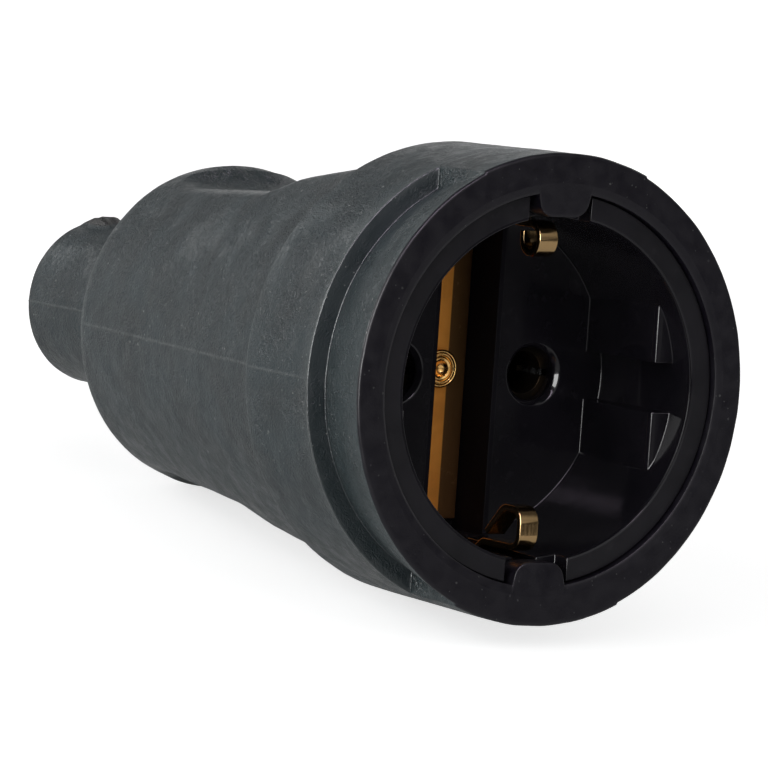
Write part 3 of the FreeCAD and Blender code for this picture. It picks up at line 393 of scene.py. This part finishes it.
colour = blended(tree, in_step, colour, (0.022, 0.032, 0.036, 1))
# Painted light: the side grips' flats in front of the step are coloured paler, for the light that
# falls on them from the front left.
across = maths(tree, "ABSOLUTE", along.outputs["X"], 0.0)
in_grip = maths(tree, "MULTIPLY", spread(tree, along.outputs["Y"], 9.2, 9.4, 0.45, 0.0),
                spread(tree, across, 10.9, 11.3))
colour = blended(tree, in_grip, colour, (0.050, 0.068, 0.072, 1))
# Paler along the parting line and the rims: wear, and a painted highlight on the rims and the
# grip's step edge.
pale = add(tree, "ShaderNodeAttribute", attribute_name="wear_and_highlight").outputs["Fac"]
broken = spread(tree, grain(tree, place, 1.4, 3.0), 0.3, 0.62, 0.45, 1.0)
colour = blended(tree, maths(tree, "MULTIPLY", pale, broken), colour, (0.16, 0.172, 0.17, 1))
# Painted shade: the dent by the collar's rear rim is coloured near black, for the shade inside it.
dent_shade = spread(tree, distance_from(tree, place, (-16.6, 24.6, 20.4)), 1.1, 1.7, 0.95, 0.0)
colour = blended(tree, dent_shade, colour, (0.004, 0.004, 0.004, 1))
# Partly painted shade: the flat face and the mouth take a darker, lilac colour, which also stands
# for the shade that the face lies in.
colour = blended(tree, at_face, colour, (0.0058, 0.0046, 0.0088, 1))
on_tail = spread(tree, along.outputs["Y"], 94.0, 95.5)
nub = maths(tree, "MULTIPLY", on_tail, spread(tree, reach, 10.28, 10.42))
nub = maths(tree, "MULTIPLY", nub, spread(tree, along.outputs["Z"], 0, 1))
cut_end = spread(tree, along.outputs["Y"], 100.6, 101.3, 0.0, 0.85)
colour = blended(tree, maths(tree, "MAXIMUM", nub, cut_end), colour, (0.010, 0.0105, 0.010, 1))


def specks(tree, place, scale, size, share):
    """Small round dots of dust: one in each cell of a pattern, in a share of the cells."""
    cells = add(tree, "ShaderNodeTexVoronoi", [("Vector", place), ("Scale", scale)])
    chance = add(tree, "ShaderNodeSeparateColor", [("Color", cells.outputs["Color"])])
    near = maths(tree, "LESS_THAN", cells.outputs["Distance"], size)
    return maths(tree, "MULTIPLY", near, maths(tree, "LESS_THAN", chance.outputs["Red"], share))


dust = maths(tree, "MAXIMUM", specks(tree, place, 0.7, 0.1, 0.3),
             specks(tree, place, 1.8, 0.16, 0.12))
drifts = spread(tree, grain(tree, place, 0.12, 2.0), 0.4, 0.6, 0.15, 1.0)
dust = maths(tree, "MULTIPLY", dust, drifts)
dust = maths(tree, "MULTIPLY", dust, spread(tree, at_face, 0, 1, 1.0, 0.25))
colour = blended(tree, dust, colour, (0.26, 0.27, 0.26, 1))
tree.links.new(colour, shader.inputs["Base Color"])
tree.links.new(spread(tree, at_face, 0, 1, 0.5, 0.3), shader.inputs["Specular IOR Level"])
dull = spread(tree, grain(tree, place, 0.5, 3.0), 0.3, 0.7, 0.28, 0.42)
tree.links.new(dull, shader.inputs["Roughness"])
wrinkles = grain(tree, place, 1.6, 3.0, 1.8)
strong = spread(tree, grain(tree, place, 0.2, 2.0), 0.35, 0.65, 0.35, 1.0)
strong = maths(tree, "MULTIPLY", strong, spread(tree, at_face, 0, 1, 1.0, 0.06))
strong = maths(tree, "MULTIPLY", strong, spread(tree, in_step, 0, 1, 1.0, 0.3))
relief = maths(tree, "MULTIPLY", wrinkles, strong)
relief = maths(tree, "ADD", relief, maths(tree, "MULTIPLY", dust, 0.3))
raise_surface(tree, shader, relief, 0.00036, 1.0)
shell.data.materials.append(rubber)
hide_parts("rubber_housing")
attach(shell, "root")

# Socket insert: a moulding of hard black plastic, pushed into the rubber shell. Its ring shows
# inside the rim, and its well has four guide ribs, the two pin holes and the slot of the earth
# strip. The mould left every edge slightly round.


def softened_copy(node, width, segments, broad=None, broad_width=0.0):
    """A copy of a CAD node whose sharp edges are rounded as the mould or the press leaves them,
    those that `broad` picks by their place in level millimetres by a wider radius."""
    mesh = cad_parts[node].data.copy()
    mesh.materials.clear()
    work = bmesh.new()
    work.from_mesh(mesh)
    bmesh.ops.remove_doubles(work, verts=work.verts, dist=2e-6)
    bmesh.ops.dissolve_limit(work, angle_limit=math.radians(0.5), verts=work.verts,
                             edges=work.edges)
    level = laid.inverted()
    for offset, pick in ((broad_width, broad), (width, lambda place: True)):
        if pick:
            sharp = [edge for edge in work.edges if edge.calc_face_angle(0) > math.radians(25)
                     and all(pick(level @ vertex.co) for vertex in edge.verts)]
            bmesh.ops.bevel(work, geom=sharp, offset=offset, segments=segments, profile=0.5,
                            affect="EDGES")
    work.to_mesh(mesh)
    work.free()
    old_shading = mesh.attributes.get("custom_normal")
    if old_shading:
        mesh.attributes.remove(old_shading)
    return shaded_piece(mesh, node + "_piece")


def worn_edge(place):
    """The ring's inner edge at the right and the rims of the pin holes."""
    reach = math.hypot(place.x, place.z)
    on_ring = place.y < 1.1 and reach < 20 and place.x > 0
    at_hole = 17 < place.y < 18.4 and math.hypot(abs(place.x) - 9.5, place.z) < 3.6
    return on_ring or at_hole


MOULD_EDGE, WORN_EDGE, PRESS_EDGE = 0.00014, 0.0004, 0.0001
insert = softened_copy("socket_insert", MOULD_EDGE, 3, worn_edge, WORN_EDGE)
plastic, tree, shader = finish_of("black_plastic", IOR=1.5, Specular_IOR_Level=0.3)
place = level_place(tree)
cloud = spread(tree, grain(tree, place, 0.12, 3.0), 0.3, 0.7)
colour = blended(tree, cloud, (0.0072, 0.0066, 0.0090, 1), (0.0108, 0.0096, 0.0132, 1))
handled = spread(tree, grain(tree, place, 0.8, 4.0), 0.58, 0.8, 0.0, 0.35)
colour = blended(tree, handled, colour, (0.026, 0.024, 0.029, 1))
tree.links.new(colour, shader.inputs["Base Color"])
at = add(tree, "ShaderNodeSeparateXYZ", [("Vector", place)])
depth = at.outputs["Y"]
rubbed = maths(tree, "MULTIPLY", spread(tree, depth, 0.9, 1.1, 0.2, 0.0),
               spread(tree, off_axis(tree, place), 19.85, 20.05))
across = maths(tree, "ABSOLUTE", at.outputs["X"], 0.0)
in_slot = maths(tree, "MULTIPLY", spread(tree, depth, 17.5, 17.7),
                spread(tree, across, 4.5, 4.7, 1.0, 0.0))
tree.links.new(spread(tree, in_slot, 0, 1, 0.3, 0.05), shader.inputs["Specular IOR Level"])
shine = spread(tree, grain(tree, place, 0.35, 3.0), 0.3, 0.7, 0.08, 0.14)
dull = maths(tree, "ADD", rubbed, spread(tree, in_slot, 0, 1, 0.0, 0.5))
tree.links.new(maths(tree, "ADD", shine, dull), shader.inputs["Roughness"])
raise_surface(tree, shader, grain(tree, place, 0.25, 1.0), 0.00005, 0.4)
insert.data.materials.append(plastic)
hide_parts("socket_insert")
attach(insert, "root")

# Earth strip: one length of rolled brass across the bottom of the slot, folded up at both ends
# into a sprung clip that touches the side of the plug. Its edges are rounded by the shears.
STRIP_FACE, STRIP_THICKNESS, STRIP_HALF_WIDTH, STRIP_HALF_LENGTH = 24.0, 0.8, 3.85, 17.6
STRIP_EDGE, ARM_EDGE = 0.12, 0.14
ARM_WIDTH, ARM_HEIGHT, LEG_HEIGHT, NOSE = 2.5, 19.95, 18.5, 3.2
middle = STRIP_FACE + STRIP_THICKNESS / 2
brass, tree, shader = finish_of("rolled_brass", Metallic=1.0)
place = level_place(tree)
tarnish = spread(tree, grain(tree, place, 0.3, 4.0, 0.4), 0.38, 0.72)
at = add(tree, "ShaderNodeSeparateXYZ", [("Vector", place)])
on_clip = spread(tree, at.outputs["Y"], 19.0, 22.0, 1.0, 0.0)
colour = blended(tree, tarnish, (0.86, 0.36, 0.068, 1), (0.74, 0.295, 0.055, 1))
# Painted reflection: the strip's right part is coloured dark brown, for the dark wall of the slot
# that it mirrors.
slot_wall_reflection = spread(tree, at.outputs["X"], 1.3, 1.45)
colour = blended(tree, slot_wall_reflection, colour, (0.135, 0.070, 0.027, 1))
colour = blended(tree, on_clip, colour, (0.40, 0.265, 0.125, 1))
spots = spread(tree, grain(tree, place, 1.6, 3.0), 0.66, 0.8, 0.0, 0.4)
colour = blended(tree, spots, colour, (0.42, 0.22, 0.10, 1))
# Painted shade: the insides of the clips' curls are coloured near black, for the shade in them.
level_up = maths(tree, "ABSOLUTE", at.outputs["Z"], 0.0)
beside = add(tree, "ShaderNodeCombineXYZ", [("Y", at.outputs["Y"]), ("Z", level_up)])
from_curl = distance_from(tree, beside.outputs[0], (0, 4.9, 16.6))
inside = spread(tree, from_curl, 1.35, 1.6, 0.85, 0.0)
colour = blended(tree, inside, colour, (0.04, 0.028, 0.018, 1))
tree.links.new(colour, shader.inputs["Base Color"])
rolled = grain(tree, level_place(tree, (3000, 3000, 200)), 1.0, 3.0)
satin = spread(tree, rolled, 0.25, 0.75, 0.0, 0.1)
satin = maths(tree, "ADD", satin, spread(tree, on_clip, 0, 1, 0.45, 0.1))
tree.links.new(satin, shader.inputs["Roughness"])
raise_surface(tree, shader, rolled, 0.00001, 0.2)


def grown(mesh, tree, settings):
    """The plain mesh that a tree makes from a mesh, with its inputs set by identifier."""
    seed = linked("seed", mesh)
    maker = seed.modifiers.new("maker", "NODES")
    maker.node_group = tree
    for identifier, value in settings.items():
        maker[identifier] = value
    graph = bpy.context.evaluated_depsgraph_get()
    result = bpy.data.meshes.new_from_object(seed.evaluated_get(graph))
    bpy.data.objects.remove(seed)
    return result


def folded_ribbon():
    """A tree that bends a flat strip along a path, each corner by its own bend radius."""
    tree = bpy.data.node_groups.new("folded_ribbon", "GeometryNodeTree")
    sockets = {}
    for name, kind in (("Path", "NodeSocketGeometry"), ("Width", "NodeSocketFloat"),
                       ("Thickness", "NodeSocketFloat"), ("Edge", "NodeSocketFloat"),
                       ("Finish", "NodeSocketMaterial")):
        sockets[name] = tree.interface.new_socket(name, in_out="INPUT", socket_type=kind)
    tree.interface.new_socket("Result", in_out="OUTPUT", socket_type="NodeSocketGeometry")
    given = tree.nodes.new("NodeGroupInput").outputs
    line = add(tree, "GeometryNodeMeshToCurve", [("Mesh", given["Path"])])
    upright = add(tree, "GeometryNodeSetCurveNormal", [("Curve", line.outputs[0])], mode="Z_UP")
    bend = add(tree, "GeometryNodeInputNamedAttribute", [("Name", "bend")], data_type="FLOAT")
    bent = add(tree, "GeometryNodeFilletCurve", [
        ("Curve", upright.outputs[0]), ("Radius", bend.outputs["Attribute"]), ("Count", 14),
        ("Limit Radius", True),
    ], mode="POLY")
    section = add(tree, "GeometryNodeCurvePrimitiveQuadrilateral", [
        ("Width", given["Thickness"]), ("Height", given["Width"]),
    ])
    eased = add(tree, "GeometryNodeFilletCurve", [
        ("Curve", section.outputs[0]), ("Radius", given["Edge"]), ("Count", 3),
    ], mode="POLY")
    swept = add(tree, "GeometryNodeCurveToMesh", [
        ("Curve", bent.outputs[0]), ("Profile Curve", eased.outputs[0]), ("Fill Caps", True),
    ])
    real = add(tree, "GeometryNodeRealizeInstances", [("Geometry", swept.outputs[0])])
    painted = add(tree, "GeometryNodeSetMaterial", [
        ("Geometry", real.outputs[0]), ("Material", given["Finish"]),
    ])
    out = tree.nodes.new("NodeGroupOutput")
    tree.links.new(painted.outputs[0], out.inputs[0])
    return tree, {name: socket.identifier for name, socket in sockets.items()}


# Corners of each clip's middle line, from the strip to the free end: (along, up, bend radius)
ribbon_tree, ribbon_sockets = folded_ribbon()
upper_path = [
    (middle, 14.0, 0), (middle, ARM_HEIGHT, 1.4), (11.1, ARM_HEIGHT, 1.4), (8.7, LEG_HEIGHT, 1.4),
    (NOSE, LEG_HEIGHT, 1.64), (NOSE, 15.2, 1.64), (6.6, 15.2, 1.6), (6.6, 17.6, 0),
]
lower_path = [
    (middle, 14.0, 0), (middle, ARM_HEIGHT, 1.4), (12.4, ARM_HEIGHT, 1.4), (10.5, LEG_HEIGHT, 1.4),
    (NOSE, LEG_HEIGHT, 1.6), (NOSE, 14.1, 1.6), (6.6, 14.1, 1.6), (9.8, 17.3, 0),
]
strip_work = bmesh.new()
for path, side in ((upper_path, 1), (lower_path, -1)):
    path_mesh = bpy.data.meshes.new("clip_path")
    path_mesh.from_pydata([(along, side * up, 0) for along, up, bend in path],
                          [(n, n + 1) for n in range(len(path) - 1)], [])
    bends = path_mesh.attributes.new("bend", "FLOAT", "POINT")
    bends.data.foreach_set("value", [bend for along, up, bend in path])
    arm = grown(path_mesh, ribbon_tree, {
        ribbon_sockets["Width"]: ARM_WIDTH, ribbon_sockets["Thickness"]: STRIP_THICKNESS,
        ribbon_sockets["Edge"]: ARM_EDGE, ribbon_sockets["Finish"]: brass,
    })
    arm.transform(Matrix(((0, 0, 1, 0), (1, 0, 0, 0), (0, 1, 0, 0), (0, 0, 0, 1))))
    strip_work.from_mesh(arm)
plate = bmesh.ops.create_cube(strip_work, size=1.0, matrix=(
    Matrix.Translation((0, middle, 0))
    @ Matrix.Diagonal((2 * STRIP_HALF_WIDTH, STRIP_THICKNESS, 2 * STRIP_HALF_LENGTH, 1))
))["verts"]
plate_edges = {edge for vertex in plate for edge in vertex.link_edges}
bmesh.ops.bevel(strip_work, geom=list(plate_edges), offset=STRIP_EDGE, segments=3,
                profile=0.5, affect="EDGES")
strip_mesh = bpy.data.meshes.new("earth_strip")
strip_work.to_mesh(strip_mesh)
strip_work.free()
strip = smooth_piece(strip_mesh, "earth_strip_piece")
strip.data.materials.clear()
strip.data.materials.append(brass)
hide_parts("earth_strip")
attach(strip, "root")

# Rivet: a turned brass rivet through the middle of the strip. Its head carries the rings and
# the centre dimple that the riveting tool left.
rivet_outline = rounded([
    (23.85, 0, 0), (23.85, 0.55, 0), (23.2, 0.95, 0.15), (23.1, 1.25, 0.12), (23.35, 1.55, 0.12),
    (23.35, 1.75, 0.1), (23.05, 2.0, 0.15), (23.3, 2.25, 0.15), (24.0, 2.25, 0),
    (24.0, 1.5, 0), (27.8, 1.5, 0), (27.8, 2.2, 0.2), (28.5, 1.95, 0.2), (28.5, 0, 0),
], 4)
rivet_work = bmesh.new()
line = [rivet_work.verts.new((point.y, point.x, 0)) for point in rivet_outline]
edges = [rivet_work.edges.new(pair) for pair in zip(line, line[1:])]
bmesh.ops.spin(rivet_work, geom=line + edges, cent=(0, 0, 0), axis=(0, 1, 0),
               angle=2 * math.pi, steps=64, use_merge=True)
bmesh.ops.remove_doubles(rivet_work, verts=rivet_work.verts, dist=1e-4)
rivet_mesh = bpy.data.meshes.new("earth_rivet")
rivet_work.to_mesh(rivet_mesh)
rivet_work.free()
rivet = smooth_piece(rivet_mesh, "earth_rivet_piece")
bright_brass, tree, shader = finish_of("pressed_brass", Metallic=1.0)
place = level_place(tree)
cloud = spread(tree, grain(tree, place, 1.2, 3.0), 0.35, 0.65)
tree.links.new(blended(tree, cloud, (1.0, 0.62, 0.22, 1), (0.85, 0.46, 0.14, 1)),
               shader.inputs["Base Color"])
tree.links.new(spread(tree, cloud, 0, 1, 0.16, 0.26), shader.inputs["Roughness"])
raise_surface(tree, shader, grain(tree, place, 4.0, 2.0), 0.00001, 0.5)
rivet.data.materials.append(bright_brass)
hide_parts("earth_rivet")
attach(rivet, "root")

# Inner works: brass pin contacts and earth terminal with zinc-plated screws, behind a plastic
# cover whose tongue carries the cord grip. Only the two pin contacts show, down the pin holes, so
# they get softened edges, and the CAD solids of the rest stay.
# The pin contacts' brass is coloured nearly black: tarnish, and painted shade for the depth of the
# pin holes.
dark_brass, tree, shader = finish_of("tarnish_and_shade_brass", Metallic=1.0)
place = level_place(tree)
bare = spread(tree, grain(tree, place, 0.8, 4.0), 0.45, 0.75)
tree.links.new(blended(tree, bare, (0.010, 0.008, 0.006, 1), (0.030, 0.020, 0.012, 1)),
               shader.inputs["Base Color"])
tree.links.new(spread(tree, bare, 0, 1, 0.6, 0.42), shader.inputs["Roughness"])
raise_surface(tree, shader, grain(tree, place, 3.0, 2.0), 0.00002, 0.4)
for side in ("left", "right"):
    contact = softened_copy("line_contact_" + side, PRESS_EDGE, 2)
    contact.data.materials.append(dark_brass)
    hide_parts("line_contact_" + side)
    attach(contact, "root")

zinc, tree, shader = finish_of("zinc_plated_steel", Metallic=1.0)
place = level_place(tree)
plating = spread(tree, grain(tree, place, 1.3, 4.0), 0.35, 0.7)
colour = blended(tree, plating, (0.62, 0.62, 0.60, 1), (0.46, 0.47, 0.48, 1))
tree.links.new(colour, shader.inputs["Base Color"])
tree.links.new(spread(tree, plating, 0, 1, 0.24, 0.42), shader.inputs["Roughness"])
raise_surface(tree, shader, grain(tree, place, 6.0, 2.0), 0.00001, 0.5)

cover_plastic, tree, shader = finish_of("matt_black_plastic", Specular_IOR_Level=0.45)
place = level_place(tree)
cloud = spread(tree, grain(tree, place, 0.3, 3.0), 0.3, 0.7)
tree.links.new(blended(tree, cloud, (0.014, 0.014, 0.015, 1), (0.024, 0.024, 0.025, 1)),
               shader.inputs["Base Color"])
tree.links.new(spread(tree, cloud, 0, 1, 0.45, 0.6), shader.inputs["Roughness"])
raise_surface(tree, shader, grain(tree, place, 3.0, 2.0), 0.00002, 0.5)

for name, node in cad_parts.items():
    if any(word in name for word in ("screw", "spring", "nut", "washer")):
        finish = zinc
    elif name in ("contact_cover", "cord_grip_bridge"):
        finish = cover_plastic
    elif name == "earth_terminal":
        finish = dark_brass
    else:
        continue
    node.data.materials.clear()
    node.data.materials.append(finish)

# Floor and light: a plain white table in a room that is bright at the left, with softer light
# from the front, the back and the right, and dark overhead, as in the photograph. The table's
# glow makes it white to the camera and shows in reflections, but throws no light on the object.
PAPER_WHITE, TABLE_GLOW, GLOW_IN_REFLECTIONS, TABLE_RADIUS = 0.8, 0.7, 0.22, 0.9
floor_mesh = bpy.data.meshes.new("floor")
floor_work = bmesh.new()
bmesh.ops.create_circle(floor_work, cap_ends=True, segments=96, radius=TABLE_RADIUS)
bmesh.ops.translate(floor_work, verts=floor_work.verts, vec=(0, 0.04, cad_box[0][2]))
floor_work.to_mesh(floor_mesh)
floor_work.free()
floor = linked("floor", floor_mesh)
paper, tree, shader = finish_of("white_paper", Base_Color=(PAPER_WHITE,) * 3 + (1,),
                                Roughness=0.9, Specular_IOR_Level=0.1)


def straight_ray(tree):
    """1 for a ray from the camera or through glass, and 0 for any other."""
    rays = add(tree, "ShaderNodeLightPath").outputs
    return maths(tree, "MAXIMUM", rays["Is Camera Ray"], rays["Is Transmission Ray"])


mirrored = add(tree, "ShaderNodeLightPath").outputs["Is Glossy Ray"]
mirrored = maths(tree, "MULTIPLY", mirrored, GLOW_IN_REFLECTIONS)
share = maths(tree, "ADD", straight_ray(tree), mirrored)
glow = add(tree, "ShaderNodeEmission", [
    ("Color", (1, 1, 1, 1)), ("Strength", maths(tree, "MULTIPLY", share, TABLE_GLOW)),
])
both = add(tree, "ShaderNodeAddShader", [(0, shader.outputs[0]), (1, glow.outputs[0])])
tree.links.new(both.outputs[0], tree.nodes["Material Output"].inputs["Surface"])
floor_mesh.materials.append(paper)

world = bpy.data.worlds.new("pale_room")
bpy.context.scene.world = world
world.use_nodes = True
tree = world.node_tree
room = tree.nodes["Background"]
room.inputs["Color"].default_value = (1, 1, 1, 1)
way = add(tree, "ShaderNodeTexCoord").outputs["Generated"]


def brightness_at(azimuth, height, inner, outer, strength):
    """A soft round patch of light in one direction of the room: all angles in degrees."""
    azimuth, height = math.radians(azimuth), math.radians(height)
    axis = (math.cos(height) * math.cos(azimuth), math.cos(height) * math.sin(azimuth),
            math.sin(height))
    near = add(tree, "ShaderNodeVectorMath", [(0, way), (1, axis)],
               operation="DOT_PRODUCT").outputs["Value"]
    return spread(tree, near, math.cos(math.radians(outer)), math.cos(math.radians(inner)),
                  0.0, strength)


level = brightness_at(180, 0, 15, 60, 2.4)  # the bright side, at the left
for patch in (
    (106, 18, 4, 16, 2.6),  # small and bright, behind
    (270, 40, 10, 45, 0.85),  # high in front
    (22, 0, 25, 55, 0.9),  # low at the right
    (90, 40, 10, 45, 0.2),  # high behind
    (0, 0, 10, 180, 0.1),  # a little from all round
):
    level = maths(tree, "ADD", level, brightness_at(*patch))
tree.links.new(maths(tree, "MAXIMUM", level, straight_ray(tree)), room.inputs["Strength"])


def glint_lamp(name, place, width, height, watts, colour):
    """A lamp that only shows as a reflection, for the glints on edges of the black plastic."""
    light = bpy.data.lights.new(name, "AREA")
    light.shape, light.size, light.size_y = "RECTANGLE", width, height
    light.energy, light.color = watts, colour
    item = linked(name, light)
    item.location = place
    item.rotation_euler = (-Vector(place)).to_track_quat("-Z", "Y").to_euler()
    item.visible_diffuse = False


glint_lamp("tall_left", (-0.8, -0.5, 0.28), 0.5, 0.6, 15.0, (1, 1, 1))
glint_lamp("front_top", (-0.25, -0.42, 0.82), 0.6, 0.45, 7.0, (0.95, 0.80, 1.0))

# Camera: stands where the photograph was taken, with its long lens and slight roll. Its place
# was found with the connector drawn level, so it is turned by the connector's dip.
view = bpy.data.cameras.new("camera")
view.lens, view.sensor_width = 369.04, 36.0
view.clip_start, view.clip_end = 0.05, 20
camera = linked("camera", view)
ahead, right, up = (Vector(way) for way in ((0.5434, 0.8351, -0.0853), (0.8394, -0.5393, 0.0674),
                                            (-0.0103, 0.1082, 0.9941)))
stand = Matrix((right, up, -ahead)).transposed().to_4x4()
stand.translation = Vector((-0.5013, -0.7353, 0.0756))
camera.matrix_world = Matrix.Rotation(-dip, 4, "X") @ stand
bpy.context.scene.camera = camera
bpy.context.scene.view_settings.view_transform = "Standard"
